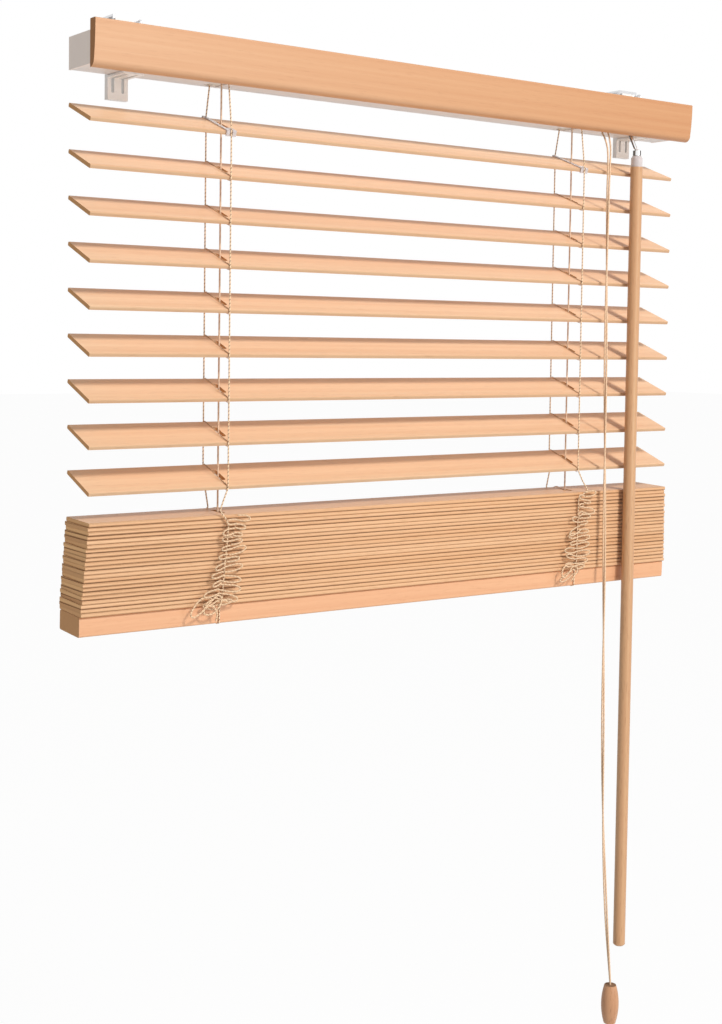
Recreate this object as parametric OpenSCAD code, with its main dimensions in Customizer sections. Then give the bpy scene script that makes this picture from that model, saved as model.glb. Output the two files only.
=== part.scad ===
// Wooden venetian blind for a window sash, partly drawn up.
// Millimetres. +X runs along the blind, +Y points into the window and +Z is up.
// The origin lies midway between the two bracket screw holes, on the brackets' back faces.

/* [Slats] */
// Length of a slat
slat_length = 536; // [520:1:548]
// Depth of a slat, front edge to back edge
slat_depth = 35; // [30:0.5:36]
// Thickness of a slat
slat_thick = 2.8; // [2.2:0.1:3.2]
// Edge radius of a slat
slat_round = 0.9; // [0.3:0.1:1.1]
// Distance from one hanging slat to the next
slat_pitch = 30.2; // [28:0.1:34]
// Drop of the first slat below the screw holes
slat_drop = 39.6; // [38:0.1:44]
// Tilt of the hanging slats, front edge down
slat_tilt = 21.4; // [0:0.1:30]
// Sideways place of the slats on the headrail
slat_shift = -6; // [-10:0.5:2]
// Length of a cord slot, front to back
slot_length = 16; // [12:0.5:20]
// Width of a cord slot
slot_width = 4.4; // [4.2:0.1:6]

/* [Gathered slats] */
// Drop of the stack's top below the last hanging slat
stack_drop = 24.2; // [22:0.1:30]
// Gap between two gathered slats
stack_gap = 0.09; // [0.05:0.01:0.2]
// Tilt of the gathered slats, front edge down
stack_tilt = 2; // [0:0.1:4]
// How far the bottom rail leans back from the first slat
lean_back = 5.5; // [0:0.1:7]
// Turn of the bottom rail, left end back
lean_turn = 1.4; // [0:0.1:1.6]
// Unevenness of the gathered slats' ends
stack_jitter = 1.1; // [0:0.1:1.3]

/* [Bottom rail] */
// Depth of the bottom rail
rail_depth = 31.5; // [26:0.5:35]
// Height of the bottom rail
rail_height = 13.5; // [10:0.5:18]
// Edge radius of the bottom rail
rail_round = 1.5; // [0.5:0.1:3]
// Diameter of a rail plug
plug_d = 9.6; // [8:0.1:12]
// Thickness of a rail plug
plug_thick = 1.8; // [1:0.1:3]

/* [Headrail] */
// Length of the headrail channel
headrail_length = 544; // [536:1:560]
// Depth of the headrail
headrail_depth = 34; // [33:0.5:36]
// Height of the headrail
headrail_height = 21; // [20:0.5:24]
// Sheet thickness of the headrail
headrail_wall = 0.8; // [0.5:0.1:1]
// Width of the turned-in lips at the headrail's top
headrail_lip = 4; // [2:0.5:6]
// Thickness of an end cap's plate
cap_plate = 1.6; // [1:0.1:3]
// Depth that an end cap reaches into the channel
cap_reach = 6; // [3:0.5:8]

/* [Valance] */
// Overhang of the valance past an end cap
valance_over = 1.9; // [0:0.1:6]
// Height of the valance
valance_height = 30.6; // [28:0.1:36]
// Thickness of the valance
valance_thick = 7.6; // [6:0.1:10]
// How far the valance reaches below the headrail
valance_below = 3.2; // [1:0.1:4]
// Radius of the valance's round lower front edge
valance_round = 5; // [3:0.1:6]
// Bow of the valance's front
valance_bow = 2.6; // [0.5:0.1:4]
// Radius of the valance's top front edge
valance_top_round = 1.2; // [0.5:0.1:2]
// Gap between headrail and valance, for the clips
valance_gap = 1.4; // [1.2:0.1:2.5]
// Width of a valance clip
clip_width = 14; // [8:1:24]
// Distance of an outer valance clip from the headrail's end
clip_inset = 122; // [95:1:160]

/* [Brackets] */
// Distance of a bracket's screw hole from the headrail's end
bracket_inset = 34; // [28:0.5:44]
// Width of a bracket
bracket_width = 15; // [14:0.5:20]
// Thickness of a bracket's back plate
bracket_thick = 4.5; // [3.5:0.1:6]
// Length of a bracket's leg below the headrail
bracket_leg = 16.2; // [12:0.1:18]
// Thickness of a bracket's arms above and below the headrail
bracket_arm = 1.6; // [1.2:0.1:2.2]
// Diameter of a bracket's screw hole
screw_hole_d = 4.2; // [3:0.1:5]
// Width of a slot in a bracket's leg
leg_slot = 2.2; // [1:0.1:3]
// Distance between the two slots in a leg
leg_slot_spacing = 7.4; // [6:0.1:9]

/* [Sash hooks] */
// Width of a sash hook
hook_width = 20; // [16:1:28]
// Sideways place of a sash hook on its bracket
hook_offset = 8; // [4:0.5:10]
// Sheet thickness of a sash hook
hook_sheet = 1.5; // [1:0.1:2]
// Sash thickness that a hook takes
hook_gap = 20; // [12:0.5:30]
// Height of a hook's top above the screw holes
hook_top = 31; // [29:0.1:36]
// Drop of a hook's tongue behind the sash
hook_tongue = 14; // [8:0.5:20]
// Diameter of a clamp screw
clamp_d = 4; // [3:0.1:5]
// Radius of a clamp screw's eye, to the middle of its wire
eye_r = 2.4; // [2:0.1:4]

/* [Ladders and cords] */
// Distance of the left ladder from the headrail's left end
ladder_left_inset = 102; // [85:0.5:120]
// Distance of the right ladder from the headrail's right end
ladder_right_inset = 112; // [110:0.5:120]
// Distance of a ladder's guide holes from the headrail's middle
guide_reach = 13.2; // [12:0.1:13.4]
// Diameter of a ladder cord
ladder_cord_d = 1.2; // [1:0.1:1.6]
// Diameter of a rung
rung_d = 1; // [0.8:0.1:1.2]
// Diameter of a lift cord
lift_cord_d = 1.6; // [1.2:0.1:1.8]
// Sideways step from a ladder to its lift cord
lift_step = 2; // [1.6:0.1:2.2]
// Diameter of the two pull cords twisted together
pull_cord_d = 2.6; // [2:0.1:2.8]
// Width of a bunch of slack ladder loops
slack_width = 22; // [14:1:30]
// Thickness of a bunch of slack ladder loops
slack_thick = 4.6; // [3:0.1:6]

/* [Tassel] */
// Height of the tassel
tassel_height = 32; // [24:0.5:40]
// Largest diameter of the tassel
tassel_d = 14.6; // [12:0.1:16]
// Diameter of the tassel's top
tassel_top_d = 9.8; // [6:0.1:12]

/* [Tilt mechanism] */
// Diameter of the tilt rod
rod_d = 5; // [4:0.1:5.5]
// Groove diameter of a ladder drum
drum_d = 9.2; // [8:0.1:9.8]
// Flange diameter of a ladder drum
drum_flange_d = 11.6; // [11:0.1:12]
// Length of a ladder drum
drum_length = 10; // [8:0.5:11]
// Slant of the tilter shaft
shaft_slant = 29; // [27:0.5:30]
// Diameter of the tilter shaft
shaft_d = 2.8; // [2.4:0.1:3]
// Diameter of the worm on the tilter shaft
worm_d = 4.8; // [4:0.1:5.4]
// Number of teeth on the worm wheel
wheel_teeth = 12; // [8:1:16]
// Width of the worm wheel
wheel_width = 6; // [4:0.5:8]

/* [Wand] */
// Distance of the wand from the headrail's right end
wand_inset = 59.5; // [56:0.5:60]
// Distance of the wand's middle from the screw plane
wand_y = 45.8; // [45.4:0.1:46.4]
// Drop of the ball that carries the wand
ball_drop = 27.5; // [26.5:0.1:29]
// Diameter of that ball
ball_d = 4.4; // [4:0.1:5]
// Length of the wooden wand
wand_length = 651; // [500:1:800]
// Diameter of the wand
wand_d = 10; // [8:0.1:10.4]
// Diameter of the clear wand cap
wand_cap_d = 9.4; // [8.4:0.1:10]
// Height of the clear wand cap
wand_cap_height = 9; // [8:0.1:12]

/* [Clearances] */
// Gap between parts that clip together
fit_gap = 0.3; // [0.2:0.05:0.4]
// Radial gap of a shaft in its bearing
run_gap = 0.05; // [0.02:0.01:0.08]
// Gap between a cord and what it rests on
cord_gap = 0.15; // [0.1:0.05:0.25]

/* [Hidden] */
hanging_count = 9;
stack_count = 22;
$fn = 48;

// Along the blind: every place is counted from the headrail's ends
valance_length = headrail_length + 2 * (cap_plate + valance_over);
bracket_spacing = headrail_length - 2 * bracket_inset;
clip_spacing = headrail_length / 2 - clip_inset;
ladder_left_x = ladder_left_inset - headrail_length / 2;
ladder_right_x = headrail_length / 2 - ladder_right_inset;
wand_x = headrail_length / 2 - wand_inset;

// Depth: the headrail sits in front of the bracket plates, and the slats hang under its middle
rail_back = -bracket_thick - fit_gap;
rail_front = rail_back - headrail_depth;
slat_y = (rail_back + rail_front) / 2;
valance_back = rail_front - valance_gap;
inner_back = rail_back - headrail_wall;
inner_front = rail_front + headrail_wall;

// Height: the screw holes lie level with the middle of the headrail
rail_top = headrail_height / 2;
rail_bottom = -headrail_height / 2;
floor_top = rail_bottom + headrail_wall;
lip_bottom = rail_top - headrail_wall;
valance_bottom = rail_bottom - valance_below;
arm_low = rail_bottom - fit_gap - bracket_arm;
arm_high = rail_top + fit_gap + bracket_arm;
tab_top = hook_top - 2 * hook_sheet;

// Hanging slats and the stack below them
function slat_z(k) = -slat_drop - (k - 1) * slat_pitch;
stack_top = slat_z(hanging_count) - stack_drop;
stack_step = slat_thick + stack_gap;
function stack_z(k) = stack_top - slat_thick / 2 - (k - 1) * stack_step;
rail_z = stack_z(stack_count) - slat_thick / 2 - stack_gap - rail_height / 2;
function stack_share(k) = k / (stack_count + 1);

// Ladders: the cords run down the slats' edges, and the rungs pass under the slats
ladder_r = ladder_cord_d / 2;
rung_r = rung_d / 2;
lift_r = lift_cord_d / 2;
edge_reach = (slat_depth / 2 - slat_round) * cos(slat_tilt)
    + (slat_thick / 2 - slat_round) * sin(slat_tilt) + slat_round;
ladder_reach = edge_reach + cord_gap + ladder_r;
edge_rise = slat_depth / 2 * sin(slat_tilt);
drum_reach = drum_d / 2 + cord_gap + ladder_r;
rung_drop = slat_thick / 2 + cord_gap + rung_r;
ladder_places = [ladder_left_x, ladder_right_x];
function lift_x(ladder_x) = ladder_x + lift_step;
function lean_at(ladder_x) = lean_back - (ladder_x - slat_shift) * sin(lean_turn);

rail_bore = 2 * lift_cord_d + 1;

// Slack loops hang before and behind the stack, at its own lean
slack_reach = slat_depth / 2 + stack_jitter + fit_gap + slack_thick / 2;
slack_height = stack_top - rail_z;
slack_top = stack_top + 2;

// Cradle of a ladder drum
cradle_base = 1;
cradle_half = 9;
guide_rim = 2.3;
cradle_reach = guide_reach + guide_rim;
guide_hole = 4;
cord_cut = 12;
cord_cut_slack = 1.6;
post_thick = 2.4;
post_half = 5;
post_top = rod_d / 2 + 2;
cradle_top = floor_top + cradle_base;
lift_run_z = cradle_top + lift_r + cord_gap;
lift_slot = lift_cord_d + 1.4;

// Tilter: the shaft's axis runs from the ball up past the tilt rod, in the plane of the wand
ball_r = ball_d / 2;
shaft_r = shaft_d / 2;
worm_r = worm_d / 2;
ball_place = [wand_x, -wand_y, -ball_drop];
shaft_up = [0, sin(shaft_slant), cos(shaft_slant)];
rod_offset = [0, slat_y + wand_y, ball_drop];
worm_middle = rod_offset * shaft_up;
worm_distance = norm(cross(rod_offset, shaft_up));
worm_half = 5;
neck_length = 4;
neck_r = 1;
wheel_r = worm_distance - worm_r - fit_gap - run_gap;
tooth_pitch = 2 * PI * wheel_r / wheel_teeth;
tooth_gap_r = tooth_pitch / 4;
tooth_out = 0.2;
thread_depth = 0.8;
thread_count = floor(2 * worm_half / tooth_pitch);
shaft_exit = (ball_drop + rail_bottom) / cos(shaft_slant);
shaft_hole_r = shaft_r + 1;
housing_half = 9.5;
housing_wall = 2;
housing_floor = 1.2;
housing_drop = 0.6;
rod_left = 6;
rod_right = 3;
housing_back = slat_y + rod_d / 2 + 4;
bearing_length = 6;
bearing_depth = 9;

// Wand cap, socket and wand, from the top down
socket_r = ball_r + 1.1;
socket_gap = 0.1;
socket_rim = ball_r / 2;
socket_bottom = ball_r + 0.8;
stem_play = 0.2;
cap_top = -ball_drop - socket_bottom - stem_play;
cap_shoulder = 2;
cap_taper = 2.6;
cap_wall = 1.5;
stem_r = 1.2;
stem_head_r = 2;
stem_head = 1.2;
wand_top = cap_top - wand_cap_height;
spigot_r = 3.3;
spigot_length = wand_cap_height - cap_wall - stem_head - 4 * stem_play;
wand_chamfer = 1.2;

// Clear clip on the first slat: a bar across, two prongs to the front, a tongue to the back
clip_sheet = 0.9;
clip_half = 3.8;
clip_prong = 2.7;
clip_bar = 14;
clip_hook = 0.55;

// Plug of an end cap, and the tongue of a valance clip
cap_lip = 0.2;
plug_wall = 2;
tongue_thick = 2;
tongue_reach = 2.2;
tongue_z = 1;
clip_top = 1;

// Bracket: web below the leg's slots, reach of the ledge, and the clamp screw's place on the tab
slot_web = 4.6;
ledge_reach = 6;
clamp_edge = 4;
clamp_drop = 3;
eye_wire_r = 0.8;
clamp_collar = 1.2;

// Cord lock, in the front of the headrail beside the right ladder
lock_clear = 5.5;
lock_left = ladder_right_x + cradle_half + lock_clear;
lock_length = 20;
lock_wall = 1.2;
lock_front = inner_front + 0.2;
lock_width = 9.8;
lock_top = 6;
lock_x = lock_left + lock_length / 2;
lock_exit_width = pull_cord_d + 1;
lock_exit_length = 13;
pawl_hub_r = 2.4;
pawl_pin_r = 1.2;
pawl_length = 5.5;
pawl_arm = 5;
pawl_arm_height = 2;
lock_mid_y = lock_front + lock_width / 2;
lock_exit_y = lock_mid_y - 0.5;

// Route of the pull cords, from the cord lock to the tassel, counted along X from the lock's middle
pull_points = [
    [3, -33.4, -8.6], [3, -33.6, -12], [2.7, -36.5, -17], [1.8, -40, -26],
    [-0.6, -42.8, -42], [-2.2, -44, -62], [-2.2, -44.5, -140], [-1.5, -45, -220],
    [0.5, -46, -362], [2.5, -48.5, -560], [6.5, -50.5, -650], [12.5, -52, -719]
];
pull_route = [for (point = pull_points) point + [lock_x, 0, 0]];
tassel_place = pull_route[len(pull_route) - 1];

wood = "#edbc93";
rail_wood = "#e8b48a";
end_white = "#efe9e6";
clear_plastic = "#e8e4e6";
steel = "#b4b6ba";
chrome = "#d2d4d8";
cord_tan = "#cfae8c";

function two(k) = k < 10 ? str("0", k) : str(k);

// A box given by its two corners
module box(low, high) {
    translate(low)
        cube(high - low);
}

// A bar along X whose section is drawn with Y to the right and Z up
module along_x(length) {
    rotate([90, 0, 90])
        linear_extrude(length, center = true)
            children();
}

// A cylinder along Y between two places
module along_y(r, low, high) {
    translate([0, high, 0])
        rotate([90, 0, 0])
            cylinder(r = r, h = high - low);
}

// A cylinder along X between two places
module x_rod(r, low, high) {
    translate([low, 0, 0])
        rotate([0, 90, 0])
            cylinder(r = r, h = high - low);
}

// A slot with round ends, cut straight down
module slot(length, width, height) {
    linear_extrude(height, center = true)
        union() {
            square([width, length - width], center = true);
            for (end = [-1, 1])
                translate([0, end * (length - width) / 2])
                    circle(d = width);
        }
}

// An eight-sided cord swept along points, its rings set square to the path
function unit(v) = v / norm(v);
function heading(points, i) =
    unit(points[min(i + 1, len(points) - 1)] - points[max(i - 1, 0)]);
function cord_ring(middle, forward, r, aside) =
    let (u = unit(cross(forward, aside)), v = cross(forward, u))
    [for (a = [0 : 45 : 315]) middle + r * (cos(a) * u + sin(a) * v)];
module cord(points, d, aside) {
    rings = [for (i = [0 : len(points) - 1])
        each cord_ring(points[i], heading(points, i), d / 2, aside)];
    last = 8 * (len(points) - 1);
    sides = [for (i = [0 : len(points) - 2], s = [0 : 7])
        [8 * i + s, 8 * i + 8 + s, 8 * i + 8 + (s + 1) % 8, 8 * i + (s + 1) % 8]];
    ends = [[for (s = [0 : 7]) s], [for (s = [7 : -1 : 0]) last + s]];
    polyhedron(rings, concat(sides, ends));
}

// A rectangle with round corners, for the sections of slats and bottom rail
module round_section(depth, height, r) {
    wide = depth / 2 - r;
    tall = height / 2 - r;
    square([depth, 2 * tall], center = true);
    square([2 * wide, height], center = true);
    for (y = [-wide, wide], z = [-tall, tall])
        translate([y, z])
            circle(r = r);
}

// One slat, lying level with its middle at the origin
module slat_blank() {
    difference() {
        along_x(slat_length)
            round_section(slat_depth, slat_thick, slat_round);
        for (x = ladder_places)
            translate([lift_x(x) - slat_shift, 0, 0])
                slot(slot_length, slot_width, 2 * slat_thick);
    }
}

// Where a hanging slat is
module at_slat(k) {
    translate([slat_shift, slat_y, slat_z(k)])
        rotate([slat_tilt, 0, 0])
            children();
}

// Where a gathered piece is: it leans and turns by its share of the rail's lean
module at_stack(z, share, aside = 0, back = 0) {
    translate([slat_shift + aside, slat_y + lean_back * share + back, z])
        rotate([stack_tilt, 0, -lean_turn * share])
            children();
}

module slat(k) {
    color(wood)
        at_slat(k)
            slat_blank();
}

module stack_slat(k) {
    color(wood)
        at_stack(stack_z(k), stack_share(k), stack_jitter * sin(137 * k), stack_jitter / 2 * sin(211 * k))
            slat_blank();
}

// Clear clips that hold the first slat on its ladders
module slat_clips() {
    low = slat_thick / 2 + run_gap;
    high = low + clip_sheet;
    tip = slat_depth / 2 + cord_gap;
    inner = clip_half - clip_prong;
    bar_back = clip_bar - clip_prong;
    color(clear_plastic)
        at_slat(1)
            for (x = ladder_places)
                translate([x - slat_shift, 0, 0])
                    union() {
                        box([-clip_half, -clip_bar, low], [-inner, tip + clip_sheet, high]);
                        box([-clip_half, tip, -slat_thick / 2], [-inner, tip + clip_sheet, high]);
                        box([-clip_half, -clip_bar, low], [clip_half, -bar_back, high]);
                        for (side = [0, 1])
                            mirror([side, 0, 0])
                                translate([inner, 0, 0])
                                    fork_prong(low, high, tip, bar_back);
                    }
}

module fork_prong(low, high, tip, bar_back) {
    box([0, -tip - clip_sheet, low], [clip_prong, -bar_back, high]);
    box([0, -tip - clip_sheet, -low - clip_hook], [clip_prong, -tip, high]);
}

// Bottom rail, bored for the lift cords and recessed below for the plugs
module bottom_rail() {
    color(rail_wood)
        at_stack(rail_z, 1)
            difference() {
                along_x(slat_length)
                    round_section(rail_depth, rail_height, rail_round);
                for (x = ladder_places)
                    translate([lift_x(x) - slat_shift, 0, 0]) {
                        cylinder(d = rail_bore, h = 2 * rail_height, center = true);
                        translate([0, 0, -rail_height])
                            cylinder(d = plug_d + 2 * run_gap, h = rail_height / 2 + plug_thick);
                    }
            }
}

module rail_plugs() {
    color(rail_wood)
        at_stack(rail_z, 1)
            for (x = ladder_places)
                translate([lift_x(x) - slat_shift, 0, -rail_height / 2])
                    cylinder(d = plug_d, h = plug_thick - run_gap);
}

// White channel with turned-in lips, cut out for the cords and the tilter shaft
module headrail() {
    half = headrail_length / 2;
    color(end_white)
        difference() {
            union() {
                box([-half, rail_front, rail_bottom], [half, rail_back, floor_top]);
                box([-half, rail_front, rail_bottom], [half, inner_front, rail_top]);
                box([-half, inner_back, rail_bottom], [half, rail_back, rail_top]);
                box([-half, rail_front, lip_bottom], [half, rail_front + headrail_lip, rail_top]);
                box([-half, rail_back - headrail_lip, lip_bottom], [half, rail_back, rail_top]);
            }
            for (x = ladder_places)
                translate([x, slat_y, rail_bottom])
                    cube([cord_cut, 2 * guide_reach + cord_cut_slack, 4], center = true);
            translate([lock_x, lock_exit_y, rail_bottom])
                cube([lock_exit_length, lock_exit_width, 4], center = true);
            translate(ball_place + shaft_exit * shaft_up)
                rotate([-shaft_slant, 0, 0])
                    cylinder(r = shaft_hole_r, h = 9, center = true);
        }
}

// Caps that close the headrail's ends, each with a hollow plug
module end_caps() {
    half = headrail_length / 2;
    slip = fit_gap / 2;
    color(end_white)
        for (side = [0, 1])
            mirror([side, 0, 0])
                translate([half, 0, 0])
                    union() {
                        box([0, rail_front - cap_lip, rail_bottom - cap_lip],
                            [cap_plate, rail_back + cap_lip, rail_top + cap_lip]);
                        difference() {
                            box([-cap_reach, inner_front + slip, floor_top + slip],
                                [0, inner_back - slip, lip_bottom - slip]);
                            box([-cap_reach - 1, inner_front + plug_wall, floor_top + plug_wall],
                                [-plug_wall / 2, inner_back - plug_wall, lip_bottom - plug_wall]);
                        }
                    }
}

// Section of the valance: its front bows back to the bottom and runs on into a round lower edge
module valance_section() {
    bow_r = (pow(valance_height, 2) + pow(valance_bow, 2)) / (2 * valance_bow);
    fall = valance_height - valance_round;
    round_y = bow_r - sqrt(pow(bow_r - valance_round, 2) - pow(fall, 2));
    round_top = valance_height - fall * bow_r / (bow_r - valance_round);
    difference() {
        intersection() {
            square([valance_thick, valance_height]);
            translate([bow_r, valance_height])
                circle(r = bow_r, $fn = 360);
            union() {
                translate([0, round_top])
                    square([valance_thick, valance_height]);
                translate([round_y, 0])
                    square([valance_thick, valance_height]);
                translate([round_y, valance_round])
                    circle(r = valance_round);
            }
        }
        translate([0, valance_height - valance_top_round])
            difference() {
                translate([-1, 0])
                    square([1 + valance_top_round, 1 + valance_top_round]);
                translate([valance_top_round, 0])
                    circle(r = valance_top_round);
            }
    }
}

module valance() {
    slip = fit_gap / 2;
    half = clip_width / 2 + fit_gap;
    pocket = tongue_reach + fit_gap;
    color(wood)
        difference() {
            translate([0, valance_back - valance_thick, valance_bottom])
                along_x(valance_length)
                    valance_section();
            for (x = [-clip_spacing, 0, clip_spacing])
                translate([x, 0, 0])
                    box([-half, valance_back - pocket, tongue_z - slip],
                        [half, valance_back + 1, tongue_z + tongue_thick + slip]);
        }
}

// Clips over the headrail's front lip, with a tongue in the groove of the valance
module valance_clips() {
    slip = fit_gap / 2;
    half = clip_width / 2;
    near = valance_back + slip;
    far = rail_front - slip;
    high = rail_top + slip + clip_top;
    color(clear_plastic)
        for (x = [-clip_spacing, 0, clip_spacing])
            translate([x, 0, 0])
                union() {
                    box([-half, near, -rail_top / 2], [half, far, high]);
                    box([-half, near, rail_top + slip], [half, rail_front + headrail_lip, high]);
                    box([-half, valance_back - tongue_reach, tongue_z], [half, far, tongue_z + tongue_thick]);
                }
}

// Bracket round the headrail's back, with a slotted leg and a tab for the sash hook
module bracket() {
    half = bracket_width / 2;
    leg_bottom = rail_bottom - bracket_leg;
    slot_bottom = leg_bottom + slot_web + leg_slot / 2;
    slot_top = arm_low + bracket_arm + 1;
    front_lip = rail_front - fit_gap / 2;
    lip_front = valance_back + fit_gap;
    ledge_front = slat_y - ledge_reach;
    color(end_white)
        difference() {
            union() {
                box([-half, -bracket_thick, leg_bottom], [half, 0, arm_high]);
                box([-half, ledge_front, arm_low], [half, -bracket_thick + 1, arm_low + bracket_arm]);
                box([-half, lip_front, arm_high - bracket_arm], [half, 0, arm_high]);
                box([-half, lip_front, rail_top / 2], [half, front_lip, arm_high]);
                translate([hook_offset, 0, 0])
                    box([-hook_width / 2, -bracket_thick, arm_high - bracket_arm],
                        [hook_width / 2, 0, tab_top]);
            }
            translate([hook_offset, 0, 0])
                box([-hook_width, -hook_sheet, arm_high], [hook_width, 1, tab_top + 1]);
            along_y(screw_hole_d / 2, -bracket_thick - 1, 1);
            for (side = [-1, 1])
                translate([side * leg_slot_spacing / 2, 0, 0]) {
                    box([-leg_slot / 2, ledge_front + ledge_reach / 2, slot_bottom],
                        [leg_slot / 2, 1, slot_top]);
                    translate([0, 0, slot_bottom])
                        along_y(leg_slot / 2, -bracket_thick - 1, 1);
                }
            clamp_hole();
        }
}

// The clamp screw's place on the tab
module at_clamp() {
    translate([hook_offset + hook_width / 2 - clamp_edge, 0, tab_top - clamp_drop])
        children();
}

module clamp_hole() {
    at_clamp()
        along_y(clamp_d / 2 + run_gap, -bracket_thick - 1, 1);
}

module bracket_left() {
    translate([-bracket_spacing / 2, 0, 0])
        bracket();
}

module bracket_right() {
    translate([bracket_spacing / 2, 0, 0])
        bracket();
}

// Steel hooks over the sash, flush with the brackets' backs
module sash_hooks() {
    half = hook_width / 2;
    front = run_gap - hook_sheet;
    back = hook_gap + hook_sheet;
    color(steel)
        for (side = [-1, 1])
            translate([side * bracket_spacing / 2, 0, 0])
                difference() {
                    translate([hook_offset, 0, 0])
                        union() {
                            box([-half, front, arm_high + run_gap], [half, 0, hook_top]);
                            box([-half, front, hook_top - hook_sheet], [half, back, hook_top]);
                            box([-half, hook_gap, hook_top - hook_tongue], [half, back, hook_top]);
                        }
                    clamp_hole();
                }
}

// Eye screws that clamp the hooks to the brackets
module clamp_screws() {
    head = -bracket_thick - clamp_collar;
    color(steel)
        for (side = [-1, 1])
            translate([side * bracket_spacing / 2, 0, 0])
                at_clamp()
                    union() {
                        along_y(clamp_d / 2, head, -run_gap);
                        along_y(clamp_d / 2 + 1, head, -bracket_thick - run_gap);
                        translate([0, head - eye_r, 0])
                            rotate([0, 90, 0])
                                rotate_extrude()
                                    translate([eye_r, 0])
                                        circle(r = eye_wire_r, $fn = 24);
                    }
}

// Cradles on the headrail's floor that carry the tilt rod on both sides of a drum
module drum_cradles() {
    inner = cradle_half - post_thick;
    color(end_white)
        for (x = ladder_places)
            translate([x, slat_y, 0])
                difference() {
                    union() {
                        box([-cradle_half, -cradle_reach, floor_top],
                            [cradle_half, cradle_reach, cradle_top]);
                        for (side = [0, 1])
                            mirror([side, 0, 0])
                                box([inner, -post_half, floor_top], [cradle_half, post_half, post_top]);
                    }
                    x_rod(rod_d / 2 + run_gap, -cradle_half - 1, cradle_half + 1);
                    for (y = [-guide_reach, guide_reach])
                        translate([0, y, cradle_top])
                            cube(guide_hole, center = true);
                    translate([lift_step, 0, cradle_top])
                        cube([lift_slot, lift_slot, guide_hole], center = true);
                    box([lift_step, -lift_slot / 2, cradle_top],
                        [cradle_half + 1, lift_slot / 2, lift_run_z + lift_slot / 2]);
                }
}

// Grooved drums on the tilt rod that the ladders hang from
module ladder_drums() {
    flange = 1.6;
    color(end_white)
        for (x = ladder_places)
            translate([x, slat_y, 0])
                difference() {
                    union() {
                        x_rod(drum_d / 2, -drum_length / 2, drum_length / 2);
                        x_rod(drum_flange_d / 2, -drum_length / 2, -drum_length / 2 + flange);
                        x_rod(drum_flange_d / 2, drum_length / 2 - flange, drum_length / 2);
                    }
                    x_rod(rod_d / 2 + run_gap, -drum_length, drum_length);
                }
}

module tilt_rod() {
    color(steel)
        translate([0, slat_y, 0])
            x_rod(rod_d / 2, ladder_left_x - cradle_half - rod_left, wand_x + housing_half + rod_right);
}

// Toothed wheel on the tilt rod beside the worm
module worm_wheel() {
    color("#d8d2c4")
        translate([wand_x, slat_y, 0])
            difference() {
                x_rod(wheel_r, -wheel_width / 2, wheel_width / 2);
                x_rod(rod_d / 2 + run_gap, -wheel_width, wheel_width);
                for (tooth = [1 : wheel_teeth])
                    rotate([tooth * 360 / wheel_teeth, 0, 0])
                        translate([0, 0, wheel_r + tooth_out])
                            x_rod(tooth_gap_r, -wheel_width, wheel_width);
            }
}

// Points along the tilter shaft's axis are counted from the ball upwards
module at_shaft(along) {
    translate(ball_place + along * shaft_up)
        rotate([-shaft_slant, 0, 0])
            children();
}

// Housing on the headrail's floor with bearings for the tilt rod and the tilter shaft
module tilter_housing() {
    front = inner_front + 0.2;
    bearing_back = front + bearing_depth;
    color(end_white)
        difference() {
            translate([wand_x, 0, 0])
                union() {
                    box([-housing_half, front, floor_top],
                        [housing_half, housing_back, floor_top + housing_floor]);
                    for (side = [0, 1])
                        mirror([side, 0, 0])
                            box([housing_half - housing_wall, front, floor_top],
                                [housing_half, housing_back, lip_bottom - housing_drop]);
                    box([-housing_half, front, floor_top],
                        [housing_half, bearing_back, floor_top + bearing_length]);
                }
            translate([wand_x, slat_y, 0])
                x_rod(rod_d / 2 + run_gap, -2 * housing_half, 2 * housing_half);
            at_shaft(shaft_exit)
                cylinder(r = shaft_r + run_gap, h = 2 * headrail_height, center = true);
            at_shaft(worm_middle - worm_half - 1)
                cylinder(r = worm_r + fit_gap, h = 3 * worm_half);
        }
}

// Slanted chrome shaft: a worm above, a ball that carries the wand below
module tilter_shaft() {
    color(chrome)
        union() {
            translate(ball_place)
                sphere(r = ball_r);
            at_shaft(0)
                cylinder(r = neck_r, h = neck_length + 1);
            at_shaft(neck_length)
                cylinder(r = shaft_r, h = worm_middle - neck_length);
            at_shaft(worm_middle)
                rotate_extrude()
                    worm_section();
        }
}

// Half section of the worm: its ridges stand a tooth pitch of the wheel apart
module worm_section() {
    root = worm_r - thread_depth;
    first = -(thread_count - 1) / 2 * tooth_pitch;
    foot_half = tooth_pitch / 4;
    crest_half = tooth_pitch / 10;
    flanks = [[root, -foot_half], [worm_r, -crest_half], [worm_r, crest_half], [root, foot_half]];
    ridges = [for (i = [0 : thread_count - 1], point = flanks) point + [0, first + i * tooth_pitch]];
    polygon(concat([[0, -worm_half], [root, -worm_half]], ridges, [[root, worm_half], [0, worm_half]]));
}

// Chrome socket round the ball, with a headed stem that the wand cap turns on
module wand_socket() {
    bottom = -socket_bottom;
    stem_bottom = cap_top + ball_drop - cap_wall - stem_head - stem_play;
    color(chrome)
        translate(ball_place)
            union() {
                difference() {
                    translate([0, 0, bottom])
                        cylinder(r = socket_r, h = socket_rim - bottom);
                    sphere(r = ball_r + socket_gap);
                }
                translate([0, 0, stem_bottom])
                    cylinder(r = stem_r, h = bottom - stem_bottom);
                translate([0, 0, stem_bottom])
                    cylinder(r = stem_head_r, h = stem_head);
            }
}

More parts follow.
